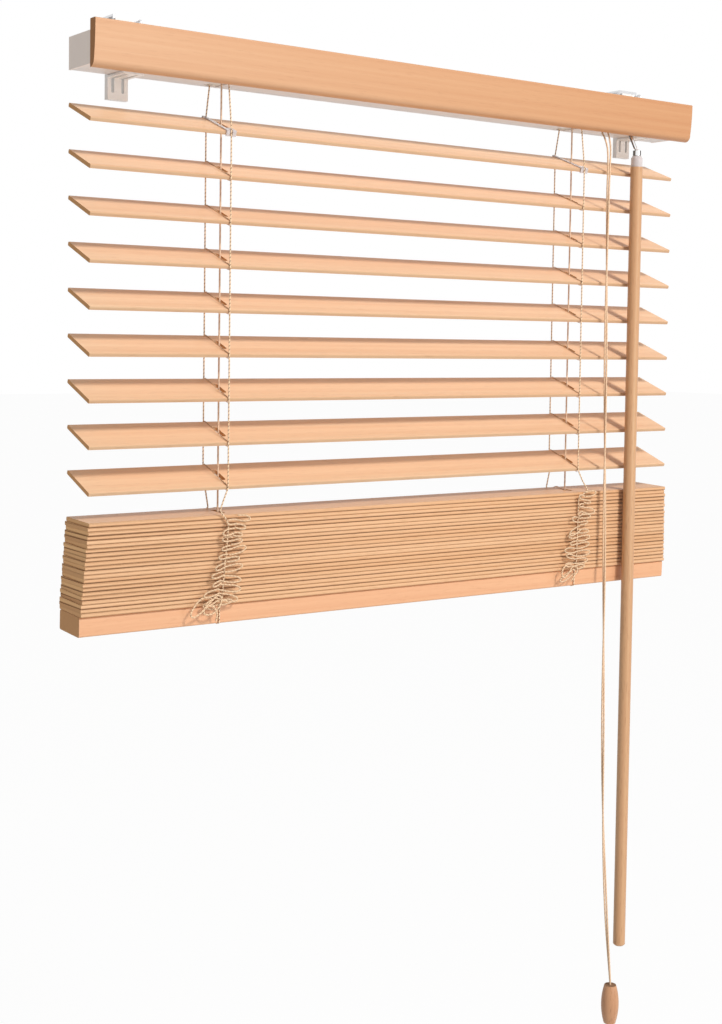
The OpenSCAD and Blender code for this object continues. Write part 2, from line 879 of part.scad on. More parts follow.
// Clear cap over the wand's spigot
module wand_cap() {
    color(clear_plastic)
        translate([wand_x, -wand_y, 0])
            difference() {
                union() {
                    translate([0, 0, wand_top])
                        cylinder(d = wand_cap_d, h = wand_cap_height - cap_shoulder);
                    translate([0, 0, cap_top - cap_shoulder])
                        cylinder(d1 = wand_cap_d, d2 = wand_cap_d - cap_taper, h = cap_shoulder);
                }
                translate([0, 0, wand_top - 1])
                    cylinder(r = spigot_r + run_gap, h = wand_cap_height - cap_wall + 1);
                translate([0, 0, wand_top])
                    cylinder(r = stem_r + run_gap, h = 2 * wand_cap_height);
            }
}

// Wooden wand with a spigot in the cap and a chamfered lower end
module wand() {
    bottom = wand_top - wand_length;
    color(wood)
        translate([wand_x, -wand_y, 0])
            union() {
                translate([0, 0, wand_top - 1])
                    cylinder(r = spigot_r, h = spigot_length + 1);
                translate([0, 0, bottom + wand_chamfer])
                    cylinder(d = wand_d, h = wand_length - wand_chamfer - run_gap);
                translate([0, 0, bottom])
                    cylinder(d1 = wand_d - 2 * wand_chamfer, d2 = wand_d, h = wand_chamfer);
            }
}

// Cord lock: an open frame with a slot in its floor, where the pull cords come out
module cord_lock() {
    right = lock_left + lock_length;
    back = lock_front + lock_width;
    color(end_white)
        difference() {
            box([lock_left, lock_front, floor_top], [right, back, lock_top]);
            box([lock_left + lock_wall, lock_front + lock_wall, floor_top + lock_wall],
                [right - lock_wall, back - lock_wall, lock_top + 1]);
            translate([lock_x, lock_exit_y, floor_top])
                cube([lock_exit_length, lock_exit_width, 4], center = true);
            translate([lock_x, 0, 0])
                along_y(pawl_pin_r + run_gap, lock_front - 1, back + 1);
        }
}

// Pawl that nips the cords, on a pin across the lock
module cord_lock_pawl() {
    color(steel)
        translate([lock_x, 0, 0])
            union() {
                along_y(pawl_pin_r, lock_front, lock_front + lock_width);
                along_y(pawl_hub_r, lock_mid_y - pawl_length / 2, lock_mid_y + pawl_length / 2);
                translate([-pawl_arm, lock_mid_y - pawl_length / 2, -pawl_arm_height / 2])
                    cube([pawl_arm, pawl_length, pawl_arm_height]);
            }
}

// One edge cord of a ladder: from its drum through the guide hole, down the slats' edges to the slack loops
module edge_cord(ladder_x, side) {
    cord([
        [ladder_x, slat_y + side * drum_reach, 0],
        [ladder_x, slat_y + side * guide_reach, cradle_top + guide_hole / 2],
        [ladder_x, slat_y + side * guide_reach, rail_bottom - 1],
        [ladder_x, slat_y + side * ladder_reach, slat_z(1) + side * edge_rise + slat_thick],
        [ladder_x, slat_y + side * ladder_reach, slat_z(hanging_count) + side * edge_rise],
        [ladder_x, slat_y + side * slack_reach, slack_top + fit_gap]
    ], ladder_cord_d, [1, 0, 0]);
}

// Rungs that the slats lie on
module rung(ladder_x) {
    clear = ladder_reach - ladder_r - cord_gap;
    translate([ladder_x - slat_shift, -rung_drop * tan(slat_tilt), -rung_drop])
        rotate([90, 0, 0])
            cylinder(r = rung_r, h = 2 * clear / cos(slat_tilt) - 2 * rung_r, center = true, $fn = 8);
}

// Slack ladder loops gathered before or behind the stack, leaning with it
module slack(ladder_x, side) {
    lean = atan2(lean_at(ladder_x), stack_top - rail_z);
    translate([ladder_x, slat_y + side * slack_reach, slack_top])
        rotate([lean, 0, 0])
            rotate([90, 0, 0])
                linear_extrude(slack_thick, center = true)
                    union() {
                        translate([-slack_width / 2, -slack_height + slack_width / 2])
                            square([slack_width, slack_height - slack_width]);
                        for (z = [-slack_height + slack_width / 2, -slack_width / 2])
                            translate([0, z])
                                circle(d = slack_width);
                    }
}

module ladder(ladder_x) {
    color(cord_tan) {
        for (side = [-1, 1]) {
            edge_cord(ladder_x, side);
            slack(ladder_x, side);
        }
        for (k = [1 : hanging_count])
            at_slat(k)
                rung(ladder_x);
    }
}

module ladder_left() {
    ladder(ladder_left_x);
}

module ladder_right() {
    ladder(ladder_right_x);
}

// Lift cords: up through the slots, then along the headrail to the cord lock
module lift_cord(ladder_x, run) {
    x = lift_x(ladder_x);
    rise = [
        [x, slat_y + lean_at(ladder_x), rail_z],
        [x, slat_y, stack_top],
        [x, slat_y, rail_bottom - 4],
        [x, slat_y, lift_run_z - 2 * lift_r],
        [x + lift_r, slat_y, lift_run_z - lift_r / 2],
        [x + 3 * lift_r, slat_y, lift_run_z]
    ];
    cord(concat(rise, run), lift_cord_d, [0, 1, 0]);
}

module lift_cords() {
    lock_back = lock_front + lock_width;
    side_y = slat_y - post_half - 4 * lift_r;
    color(cord_tan) {
        lift_cord(ladder_left_x, [
            [ladder_left_x + 2 * cradle_half, slat_y, lift_run_z],
            [ladder_right_x - 4 * cradle_half, side_y, lift_run_z],
            [lock_left - cord_gap, side_y, lift_run_z]
        ]);
        lift_cord(ladder_right_x, [
            [ladder_right_x + cradle_half + 2, slat_y, lift_run_z],
            [lock_x - 4 * lift_r, slat_y - lift_r, lift_run_z],
            [lock_x, lock_back + 4 * lift_r, lift_run_z],
            [lock_x, lock_back + cord_gap, lift_run_z]
        ]);
    }
}

// Both pull cords, twisted together
module pull_cord() {
    color(cord_tan)
        cord(pull_route, pull_cord_d, [1, 0, 0]);
}

// Barrel-shaped wooden tassel
module tassel() {
    belly = tassel_d / 2;
    swell = belly - tassel_top_d / 2;
    bulge_r = (pow(tassel_height, 2) / 4 + pow(swell, 2)) / (2 * swell);
    color(wood)
        translate(tassel_place - [0, 0, tassel_height + cord_gap])
            rotate_extrude()
                intersection() {
                    square([tassel_d, tassel_height]);
                    translate([belly - bulge_r, tassel_height / 2])
                        circle(r = bulge_r, $fn = 180);
                }
}

headrail();
end_caps();
valance();
valance_clips();
bracket_left();
bracket_right();
sash_hooks();
clamp_screws();
drum_cradles();
ladder_drums();
tilt_rod();
tilter_housing();
worm_wheel();
tilter_shaft();
wand_socket();
wand_cap();
wand();
cord_lock();
cord_lock_pawl();
bottom_rail();
rail_plugs();
ladder_left();
ladder_right();
lift_cords();
pull_cord();
tassel();
slat_clips();
for (k = [1 : hanging_count]) slat(k);
for (k = [1 : stack_count]) stack_slat(k);
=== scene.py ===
import math

import bmesh
import bpy
from mathutils import Euler, Matrix, Vector


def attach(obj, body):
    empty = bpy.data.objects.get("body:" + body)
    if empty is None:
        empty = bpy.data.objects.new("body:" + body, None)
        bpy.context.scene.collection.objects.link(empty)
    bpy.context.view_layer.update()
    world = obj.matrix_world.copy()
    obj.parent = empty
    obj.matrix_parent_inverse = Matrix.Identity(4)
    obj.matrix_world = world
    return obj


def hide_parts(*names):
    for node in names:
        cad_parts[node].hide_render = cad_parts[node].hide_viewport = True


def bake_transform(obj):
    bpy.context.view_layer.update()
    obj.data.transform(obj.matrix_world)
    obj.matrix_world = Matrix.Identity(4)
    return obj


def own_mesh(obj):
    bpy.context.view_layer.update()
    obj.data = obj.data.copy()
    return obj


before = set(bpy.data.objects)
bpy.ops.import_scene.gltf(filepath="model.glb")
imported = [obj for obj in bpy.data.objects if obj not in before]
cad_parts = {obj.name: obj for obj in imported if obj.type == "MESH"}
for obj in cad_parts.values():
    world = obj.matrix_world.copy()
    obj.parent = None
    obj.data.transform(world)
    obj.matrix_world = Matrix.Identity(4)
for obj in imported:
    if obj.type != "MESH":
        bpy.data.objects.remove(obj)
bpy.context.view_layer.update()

# Sizes and places of the solids, in millimetres and radians

MM = 0.001
HANGING = 9
GATHERED = 22
SLAT_SHIFT = -6.0
SLAT_Y = -21.8
SLAT_DROP = 39.6
SLAT_PITCH = 30.2
SLAT_THICK = 2.8
SLAT_TILT = math.radians(21.4)
LADDER_X = {"left": -170.0, "right": 160.0}
LADDER_REACH = 17.29
EDGE_RISE = 6.385
DRUM_REACH = 5.35
GUIDE_REACH = 13.2
GUIDE_TOP = -6.7
GUIDE_FOOT = -11.5
STACK_TOP = -305.4
STACK_FRONT = STACK_TOP - 0.6
STACK_STEP = 2.89
RAIL_Z = -375.73
RAIL_DEPTH = 31.5
RAIL_HEIGHT = 13.5
RAIL_TRAVEL = 600.0
LEAN_BACK = 5.5
LEAN_TURN = math.radians(1.4)
LOCK_X = 184.5

# Sizes and places of the finer pieces, in millimetres and radians, and the trees' inputs in metres

STACK_EVENED = 0.7
# Degrees for each slat, as in the solids
SCATTER_TURNS = (137, 211)
WELD = 0.002
LOWER_REACH = 18.6
LOWER_STEPS = 12
CORD_SETBACK = 0.4
CORD_CLEAR = 0.8
TUCK = 4
# How far the ladder cords swerve aside, in the order of SWERVE and then at the stack's top
LADDER_DRIFT = {
    "left": {-1: (-5.0, -7.5, -6.0), 1: (2.0, 3.0, 6.0)},
    "right": {-1: (3.5, 7.5, 9.0), 1: (3.5, 3.5, 0.5)}}
# Short of the slack's reach, and below the last hanging slat
SWERVE = ((0.8, 9), (0.2, 15))
RUNG_REACH = 18.2
# Height off the slat's middle, length of the bend and rise of the ends, for each thread
RUNG_THREADS = ((-SLAT_THICK / 2 - 0.6, 3.0, 0.5), (SLAT_THICK / 2 + 0.36, 1.0, -1.1))
RUNG_LAY = {"Cord radius": 0.32 * MM, "Ring sides": 6}

SLACK_REACH = 19.9
SLACK_ASIDE = 6.5
SLACK_SHORT = 4
SLACK_LAY = {"Cord radius": 0.7 * MM}
LOOP_SETBACK = 0.3
LOOP_STAND_OFF = 2.6
LOOP_REACH = 13
LOOP_DROP = 3.2
FOOT_RISE = 11
FOOT_LOOPS = {
    "left": [(0, 0, 0), (-9, -2, 2), (-17, -2.6, -4), (-19, -2.8, -10), (-13, -2.6, -9),
             (-4, -1.6, -2), (4, -1.8, 2), (3, -2.4, -5), (-5, -2.4, -10), (-9, -2.0, -8),
             (-4, -2.4, -4), (1, -2.6, -9), (0.5, -2.6, -15)],
    "right": [(0, 0, 0), (-6, -2, 1), (-12, -2.4, -4), (-11, -2.6, -9), (-5, -2.4, -6),
              (2, -1.6, -1), (5, -2, -4), (1, -2.4, -9), (-2, -2.4, -13)]}

LIFT_ASIDE = 2
LIFT_Z = -7.75
LIFT_FRONT = -30.0
LIFT_BEND = ((0, -14.5), (0, -9.35), (0.8, -8.15), (2.4, LIFT_Z))
LIFT_RUN = {
    "left": [(-152, SLAT_Y), (124, LIFT_FRONT), (174.3, LIFT_FRONT)],
    "right": [(171, SLAT_Y), (181.3, SLAT_Y - 0.8), (LOCK_X, -24.8), (LOCK_X, -27.85)]}
LIFT_LAY = {"Cord radius": 0.72 * MM, "Strands": 4, "Strand depth": 0.07,
            "Twist per metre": 1500.0, "Ring step": 0.0006}

PULL_POINTS = [
    (3, -33.4, -8.6), (3, -33.6, -12), (2.7, -36.5, -17), (1.8, -40, -26),
    (-0.6, -42.8, -42), (-2.2, -44, -62), (-2.2, -44.5, -140), (-1.5, -45, -220),
    (0.5, -46, -362), (2.5, -48.5, -560), (6.5, -50.5, -650), (12.5, -52, -719)]
PULL_STEP = 1.5
PULL_GAP = 0.80
PULL_PARTING = 1.8
PARTED_LENGTH = 40
TWIST_START = 34
TWIST_LENGTH = 300
FIRST_TURN = 0.6
PULL_LAY = {"Cord radius": 0.78 * MM, "Strands": 4, "Strand depth": 0.06,
            "Twist per metre": 1700.0, "Ring step": 0.0008, "Ring sides": 8}


def slat_height(k):
    return -SLAT_DROP - (k - 1) * SLAT_PITCH


def lean_at(x):
    """How far to the back the stack has leant at the rail, at a place along it."""
    return LEAN_BACK - (x - SLAT_SHIFT) * math.sin(LEAN_TURN)


# Camera, fitted to the corners of the hanging slats

CAMERA_PLACE = (-703.9, -933.8, -185.1)
CAMERA_ANGLES = (35.81, 2.85, 0.80)
CAMERA_SHIFT = -0.0937
FOCAL_PIXELS = 1518.15
PICTURE_PIXELS = 1024
SENSOR = 36


def aim_camera():
    turn, pitch, roll = (math.radians(a) for a in CAMERA_ANGLES)
    ahead = Vector((math.sin(turn) * math.cos(pitch), math.cos(turn) * math.cos(pitch),
                    -math.sin(pitch)))
    level = Vector((math.cos(turn), -math.sin(turn), 0))
    upright = level.cross(ahead)
    right = math.cos(roll) * level + math.sin(roll) * upright
    up = -math.sin(roll) * level + math.cos(roll) * upright
    data = bpy.data.cameras.new("room_camera")
    data.sensor_width = SENSOR
    data.lens = FOCAL_PIXELS * SENSOR / PICTURE_PIXELS
    data.shift_y = CAMERA_SHIFT
    data.clip_start = 0.02
    data.clip_end = 60
    camera = bpy.data.objects.new("room_camera", data)
    axes = Matrix((right, up, -ahead)).transposed().to_4x4()
    camera.matrix_world = Matrix.Translation(Vector(CAMERA_PLACE) * MM) @ axes
    bpy.context.scene.collection.objects.link(camera)
    bpy.context.scene.camera = camera


aim_camera()


# Node helpers

FLOAT, INT, VECTOR = "NodeSocketFloat", "NodeSocketInt", "NodeSocketVector"
SHAPE, FINISH = "NodeSocketGeometry", "NodeSocketMaterial"


def put(tree, kind, **settings):
    made = tree.nodes.new(kind)
    for name, value in settings.items():
        setattr(made, name, value)
    return made


def join(tree, source, target):
    tree.links.new(source, target)


def feed(tree, value, target):
    """Give a socket a plain number, a plain colour or a link."""
    if isinstance(value, tuple):
        target.default_value = value + (1.0,)
    elif isinstance(value, (int, float)):
        target.default_value = value
    else:
        join(tree, value, target)


def math_step(tree, operation, first, second=None):
    made = put(tree, "ShaderNodeMath", operation=operation)
    feed(tree, first, made.inputs[0])
    if second is not None:
        feed(tree, second, made.inputs[1])
    return made.outputs[0]


def span(tree, value, low, high, to_low=0.0, to_high=1.0):
    """Carry a value from one range over to another, and hold it there."""
    made = put(tree, "ShaderNodeMapRange", clamp=True)
    made.inputs["From Min"].default_value = low
    made.inputs["From Max"].default_value = high
    made.inputs["To Min"].default_value = to_low
    made.inputs["To Max"].default_value = to_high
    join(tree, value, made.inputs["Value"])
    return made.outputs[0]


def axes_of(tree, vector):
    made = put(tree, "ShaderNodeSeparateXYZ")
    join(tree, vector, made.inputs[0])
    return made.outputs


def new_group(name, kind, sockets):
    tree = bpy.data.node_groups.new(name, kind)
    for way, label, form, value in sockets:
        made = tree.interface.new_socket(label, in_out=way, socket_type=form)
        if value is not None:
            made.default_value = value
    return tree, put(tree, "NodeGroupInput"), put(tree, "NodeGroupOutput")


# Shader groups

# Stretch along and across the grain, detail and, for the streaks, roughness of the beech's layers
BOARD_NOISE = (0.5, 14, 330), 1.0
STREAK_NOISE = (3.5, 150, 150), 5.0, 0.62
FIBRE_NOISE = (16, 900, 900), 3.0
RAY_NOISE = (85, 1500, 1500), 1.0
STREAK_TONE = 1.5
FIBRE_TONE = 0.35
STREAK_HEIGHT = 0.6
RAY_EDGE = (0.60, 0.72)
GRIT_FINENESS = 14.0


def stretched_noise(tree, vector, stretch, detail, rough=0.55):
    mapping = put(tree, "ShaderNodeMapping", vector_type="POINT")
    mapping.inputs["Scale"].default_value = stretch
    noise = put(tree, "ShaderNodeTexNoise")
    noise.inputs["Scale"].default_value = 1.0
    noise.inputs["Detail"].default_value = detail
    noise.inputs["Roughness"].default_value = rough
    join(tree, vector, mapping.inputs["Vector"])
    join(tree, mapping.outputs[0], noise.inputs["Vector"])
    return noise.outputs[0]


def build_beech_grain():
    """Beech that differs from board to board, with streaks, fibres and short ray flecks."""
    tree, into, out = new_group("beech_grain", "ShaderNodeTree", [
        ("INPUT", "Vector", VECTOR, None),
        ("INPUT", "Streaks", FLOAT, 0.5),
        ("INPUT", "Flecks", FLOAT, 0.4),
        ("OUTPUT", "Tone", FLOAT, None),
        ("OUTPUT", "Fleck", FLOAT, None),
        ("OUTPUT", "Height", FLOAT, None)])
    board, streak, fibre, ray = (
        stretched_noise(tree, into.outputs["Vector"], *layer)
        for layer in (BOARD_NOISE, STREAK_NOISE, FIBRE_NOISE, RAY_NOISE))
    mixed = math_step(tree, "SUBTRACT", streak, 0.5)
    mixed = math_step(tree, "MULTIPLY", mixed, into.outputs["Streaks"])
    mixed = math_step(tree, "ADD", math_step(tree, "MULTIPLY", mixed, STREAK_TONE), board)
    soft = math_step(tree, "MULTIPLY", math_step(tree, "SUBTRACT", fibre, 0.5), FIBRE_TONE)
    join(tree, math_step(tree, "ADD", mixed, soft), out.inputs["Tone"])
    fleck = math_step(tree, "MULTIPLY", span(tree, ray, *RAY_EDGE), into.outputs["Flecks"])
    join(tree, fleck, out.inputs["Fleck"])
    height = math_step(tree, "ADD", fibre, math_step(tree, "MULTIPLY", streak, STREAK_HEIGHT))
    join(tree, height, out.inputs["Height"])
    return tree


def build_fine_mottle():
    """Soft clouds, and a fine grit."""
    tree, into, out = new_group("fine_mottle", "ShaderNodeTree", [
        ("INPUT", "Vector", VECTOR, None),
        ("INPUT", "Size", FLOAT, 60.0),
        ("OUTPUT", "Cloud", FLOAT, None),
        ("OUTPUT", "Grit", FLOAT, None)])
    for label, fineness in (("Cloud", 1.0), ("Grit", GRIT_FINENESS)):
        noise = put(tree, "ShaderNodeTexNoise")
        noise.inputs["Detail"].default_value = 3.0
        join(tree, into.outputs["Vector"], noise.inputs["Vector"])
        scale = math_step(tree, "MULTIPLY", into.outputs["Size"], fineness)
        join(tree, scale, noise.inputs["Scale"])
        join(tree, noise.outputs[0], out.inputs[label])
    return tree


BEECH = build_beech_grain()
MOTTLE = build_fine_mottle()


# Materials

# How squarely a face has to look to the front, to an end or upwards to count as one
FACES_FRONT = (0.55, 0.9)
FACES_END = (0.7, 0.95)
FACES_UP = (0.90, 0.98)
TONE_SPAN = (0.2, 0.8)
HEIGHT_SPAN = (0.4, 1.2)
# Strength, and depth in metres
GRAIN_BUMP = (0.18, 0.0002)
WEAVE_BUMP = (0.35, 0.0001)
GRIT_DEPTH = 0.0001
FLECK_TONE = (0.62, 0.52, 0.45)
GAP_SHADE_TONE = (0.30, 0.20, 0.15)
RING_NOISE = (300, 900, 2200), 3.0
RING_TONE = 0.72
PALE_END = 1.3
FALLOFF_REACH = 0.27
END_ROUGHNESS = 0.9
SATIN_ROUGHNESS = (0.36, 0.52)
LACQUER_COAT = 0.24
COAT_ROUGHNESS = 0.25
# Where the painted shade under each gathered slat begins and ends in its share of the stack, and
# which slats have a dark one
GAP_SPAN = (0.55, 0.95)
GAP_DRAW = (0.45, 0.75)
FAINT_GAP = 0.2
END_SHIFT = 0.22
CLOUD_TONE = 0.93
GRIT_SPAN = (0.3, 0.7)
GRIT_ROUGHNESS = (0.85, 1.2)
# Painted reflection: the plating is painted dark where its faces turn to either side of the
# picture
ACROSS_PICTURE = (-0.81, 0.585, 0)
PAINTED_DARK_SPAN = (0.35, 0.70)
WEAVE_PER_METRE = 9000.0
WEAVE_ROUND = 12.566
YARN_TONE = 0.72
YARN_FLECK = 0.35
YARN_ROUGHNESS = (0.78, 0.92)
YARN_SHEEN = 0.25


def toned(colour, tone):
    """A colour times a tone, which is one number or one for each channel."""
    tones = tone if isinstance(tone, tuple) else (tone,) * len(colour)
    return tuple(c * t for c, t in zip(colour, tones))


def shader_of(made):
    return made.node_tree.nodes["Principled BSDF"]


def start_material(name):
    made = bpy.data.materials.new(name)
    made.use_nodes = True
    return made, made.node_tree, shader_of(made)


def use_group(tree, group, vector, **values):
    made = put(tree, "ShaderNodeGroup", node_tree=group)
    join(tree, vector, made.inputs["Vector"])
    for label, value in values.items():
        made.inputs[label].default_value = value
    return made.outputs


def mix_colour(tree, share, first, second, blend="MIX"):
    made = put(tree, "ShaderNodeMix", data_type="RGBA", blend_type=blend, clamp_factor=True)
    for place, value in ((0, share), (6, first), (7, second)):
        feed(tree, value, made.inputs[place])
    return made.outputs[2]


def bump(tree, shader, height, strength, depth):
    made = put(tree, "ShaderNodeBump")
    made.inputs["Strength"].default_value = strength
    made.inputs["Distance"].default_value = depth
    join(tree, height, made.inputs["Height"])
    join(tree, made.outputs[0], shader.inputs["Normal"])


def draw_for_row(tree, row):
    """A random value for each whole number."""
    made = put(tree, "ShaderNodeTexWhiteNoise", noise_dimensions="1D")
    join(tree, math_step(tree, "FLOOR", row), made.inputs["W"])
    return made.outputs["Value"]


def stack_gap_shade_and_draw(tree, place, facing_up, gap_shade):
    """The painted shade of the gap under each gathered slat, and a random value for each slat's
    ends.
    """
    row = math_step(tree, "SUBTRACT", STACK_FRONT * MM, axes_of(tree, place)[2])
    row = math_step(tree, "DIVIDE", row, STACK_STEP * MM)
    gap = span(tree, math_step(tree, "FRACT", row), *GAP_SPAN)
    share = span(tree, draw_for_row(tree, row), *GAP_DRAW, FAINT_GAP, gap_shade)
    gap = math_step(tree, "MULTIPLY", gap, share)
    upright_face = span(tree, math_step(tree, "ABSOLUTE", facing_up), *FACES_UP, 1.0, 0.0)
    gap = math_step(tree, "MULTIPLY", gap, upright_face)
    return gap, draw_for_row(tree, math_step(tree, "ADD", row, END_SHIFT))


def lacquered_beech(name, pale, deep, end_colour, upright=False, streaks=0.5, flecks=0.4,
                    front_shade=1.0, gap_shade=0.0, gloss=0.5, light_falloff=None):
    """Pale beech under satin lacquer, grain along X or, for turned pieces, along Z.

    The front edge is darkened by painted shade, the gaps under the gathered slats by painted
    shade, and the board gets painted light that falls off from its left end to its right one.
    gloss is the lacquer's shine, which the sawn ends don't have.
    """
    made, tree, shader = start_material(name)
    place = put(tree, "ShaderNodeTexCoord").outputs
    run = put(tree, "ShaderNodeMapping")
    if upright:
        run.inputs["Rotation"].default_value = (0, math.pi / 2, 0)
    join(tree, place["Object"], run.inputs["Vector"])
    grain = use_group(tree, BEECH, run.outputs[0], Streaks=streaks, Flecks=flecks)
    colour = mix_colour(tree, span(tree, grain["Tone"], *TONE_SPAN), pale, deep)
    colour = mix_colour(tree, grain["Fleck"], colour, toned(deep, FLECK_TONE))
    facing = axes_of(tree, place["Normal"])
    # Painted shade: faces that look to the front are darkened by a share, to tone down the light
    # on the front edges
    front = span(tree, math_step(tree, "MULTIPLY", facing[1], -1.0), *FACES_FRONT)
    colour = mix_colour(tree, front, colour, (front_shade, front_shade, front_shade), "MULTIPLY")
    # Painted light: the board is made paler towards its left end and darker towards its right one,
    # as light falling off along it
    if light_falloff:
        share = span(tree, axes_of(tree, place["Object"])[0], -FALLOFF_REACH, FALLOFF_REACH)
        colour = mix_colour(tree, 1.0, colour, mix_colour(tree, share, *light_falloff), "MULTIPLY")
    rings = stretched_noise(tree, place["Object"], *RING_NOISE)
    end_tone = mix_colour(tree, rings, end_colour, toned(end_colour, RING_TONE))
    # Painted shade in the gap under each gathered slat, on its faces and on its ends
    if gap_shade:
        gap, own = stack_gap_shade_and_draw(tree, place["Object"], facing[2], gap_shade)
        pale_end = tuple(min(1.0, c) for c in toned(end_colour, PALE_END))
        end_tone = mix_colour(tree, own, end_tone, pale_end)
        end_tone = mix_colour(tree, gap, end_tone, toned(deep, GAP_SHADE_TONE))
        colour = mix_colour(tree, gap, colour, toned(deep, GAP_SHADE_TONE))
    end = span(tree, math_step(tree, "ABSOLUTE", facing[2 if upright else 0]), *FACES_END)
    join(tree, mix_colour(tree, end, colour, end_tone), shader.inputs["Base Color"])
    satin = span(tree, grain["Height"], *HEIGHT_SPAN, *SATIN_ROUGHNESS)
    sawn = math_step(tree, "MULTIPLY", end, END_ROUGHNESS)
    join(tree, math_step(tree, "MAXIMUM", satin, sawn), shader.inputs["Roughness"])
    coat = span(tree, end, 0.0, 1.0, LACQUER_COAT * gloss, 0.0)
    join(tree, coat, shader.inputs["Coat Weight"])
    shader.inputs["Coat Roughness"].default_value = COAT_ROUGHNESS
    shader.inputs["Specular IOR Level"].default_value = gloss
    bump(tree, shader, grain["Height"], *GRAIN_BUMP)
    return made


def moulded(name, colour, roughness, size=60.0, metallic=0.0, strength=0.06):
    """Painted, moulded or plated surface with faint clouding."""
    made, tree, shader = start_material(name)
    place = put(tree, "ShaderNodeTexCoord").outputs
    mottle = use_group(tree, MOTTLE, place["Object"], Size=size)
    clouded = mix_colour(tree, mottle["Cloud"], colour, toned(colour, CLOUD_TONE))
    join(tree, clouded, shader.inputs["Base Color"])
    rough = (roughness * share for share in GRIT_ROUGHNESS)
    gritty = span(tree, mottle["Grit"], *GRIT_SPAN, *rough)
    join(tree, gritty, shader.inputs["Roughness"])
    shader.inputs["Metallic"].default_value = metallic
    bump(tree, shader, mottle["Grit"], strength, GRIT_DEPTH)
    return made


def clear_moulding():
    made = moulded("clear_moulding", (0.88, 0.81, 0.81), 0.22, 90.0)
    shader_of(made).inputs["Transmission Weight"].default_value = 0.4
    shader_of(made).inputs["IOR"].default_value = 1.49
    return made


def chrome_with_painted_reflection(name, bright, dark):
    """Bright plating with a painted reflection: its edges are painted dark, as if it mirrored the
    dim sides of the room.
    """
    made = moulded(name, bright, 0.09, 200.0, 1.0, 0.02)
    tree = made.node_tree
    edge = put(tree, "ShaderNodeVectorMath", operation="DOT_PRODUCT")
    edge.inputs[1].default_value = ACROSS_PICTURE
    join(tree, put(tree, "ShaderNodeTexCoord").outputs["Normal"], edge.inputs[0])
    painted_dark = span(tree, math_step(tree, "ABSOLUTE", edge.outputs["Value"]), *PAINTED_DARK_SPAN)
    join(tree, mix_colour(tree, painted_dark, bright, dark), shader_of(made).inputs["Base Color"])
    return made


def cord_yarn(name, pale, dark, share):
    """Braided cord: its strands take turns of two colours round the cord."""
    made, tree, shader = start_material(name)
    around, along = (put(tree, "ShaderNodeAttribute", attribute_name=label).outputs["Fac"]
                     for label in ("around", "along"))
    strand = math_step(tree, "GREATER_THAN", around, 1.0 - share)
    weave = math_step(tree, "MULTIPLY", along, WEAVE_PER_METRE)
    weave = math_step(tree, "ADD", weave, math_step(tree, "MULTIPLY", around, WEAVE_ROUND))
    weave = math_step(tree, "SINE", weave)
    fleck = span(tree, weave, -1.0, 1.0, 0.0, YARN_FLECK)
    soft = mix_colour(tree, fleck, pale, toned(pale, YARN_TONE))
    join(tree, mix_colour(tree, strand, soft, dark), shader.inputs["Base Color"])
    join(tree, span(tree, weave, -1.0, 1.0, *YARN_ROUGHNESS), shader.inputs["Roughness"])
    shader.inputs["Sheen Weight"].default_value = YARN_SHEEN
    bump(tree, shader, weave, *WEAVE_BUMP)
    return made


# The hanging slats, whose front edges get painted shade
slat_beech = lacquered_beech(
    "slat_beech", (0.875, 0.60, 0.38), (0.80, 0.492, 0.287), (0.84, 0.46, 0.21),
    streaks=0.4, flecks=0.25, front_shade=0.74, gloss=0.2)
# A darker copy of the slats' beech for the gathered slats, which are the same wood: painted shade
# on the stack
shaded_stack_beech = lacquered_beech(
    "shaded_stack_beech", (0.765, 0.485, 0.285), (0.695, 0.402, 0.213), (0.84, 0.48, 0.24),
    streaks=0.5, flecks=0.3, gap_shade=1.0, gloss=0.2)
# The valance's beech, with painted light that falls off from its left end to its right one
valance_beech = lacquered_beech(
    "valance_beech", (0.67, 0.365, 0.19), (0.62, 0.31, 0.152), (0.51, 0.245, 0.105),
    streaks=0.45, flecks=0.15, light_falloff=((1.0, 1.08, 1.18), (0.88, 0.83, 0.76)))
rail_beech = lacquered_beech(
    "rail_beech", (0.77, 0.43, 0.24), (0.70, 0.36, 0.192), (0.76, 0.415, 0.19),
    streaks=0.4, flecks=0.2)
wand_beech = lacquered_beech(
    "wand_beech", (0.61, 0.365, 0.19), (0.55, 0.295, 0.15), (0.40, 0.24, 0.14),
    upright=True, streaks=0.6, flecks=0.5)
tassel_beech = lacquered_beech(
    "tassel_beech", (0.565, 0.30, 0.157), (0.47, 0.22, 0.107), (0.28, 0.15, 0.08),
    upright=True, streaks=0.8, flecks=0.6)
white_paint = moulded("white_paint", (0.84, 0.79, 0.77), 0.38, 25.0)
white_moulding = moulded("white_moulding", (0.96, 0.95, 0.94), 0.30, 40.0)
cap_moulding = moulded("cap_moulding", (0.98, 0.86, 0.78), 0.34, 40.0)
inner_moulding = moulded("inner_moulding", (0.82, 0.79, 0.74), 0.48, 70.0)
zinc_plate = moulded("zinc_plate", (0.75, 0.75, 0.76), 0.30, 120.0, 1.0)
bright_chrome = chrome_with_painted_reflection("bright_chrome", (0.88, 0.88, 0.88), (0.12, 0.11, 0.10))
clear_plastic = clear_moulding()
ladder_yarn = cord_yarn("ladder_yarn", (0.93, 0.70, 0.47), (0.33, 0.185, 0.095), 0.36)
slack_yarn = cord_yarn("slack_yarn", (0.86, 0.62, 0.40), (0.50, 0.30, 0.17), 0.30)
lift_yarn = cord_yarn("lift_yarn", (0.88, 0.64, 0.46), (0.70, 0.46, 0.31), 0.30)
pull_yarn = cord_yarn("pull_yarn", (0.88, 0.63, 0.42), (0.74, 0.48, 0.30), 0.30)

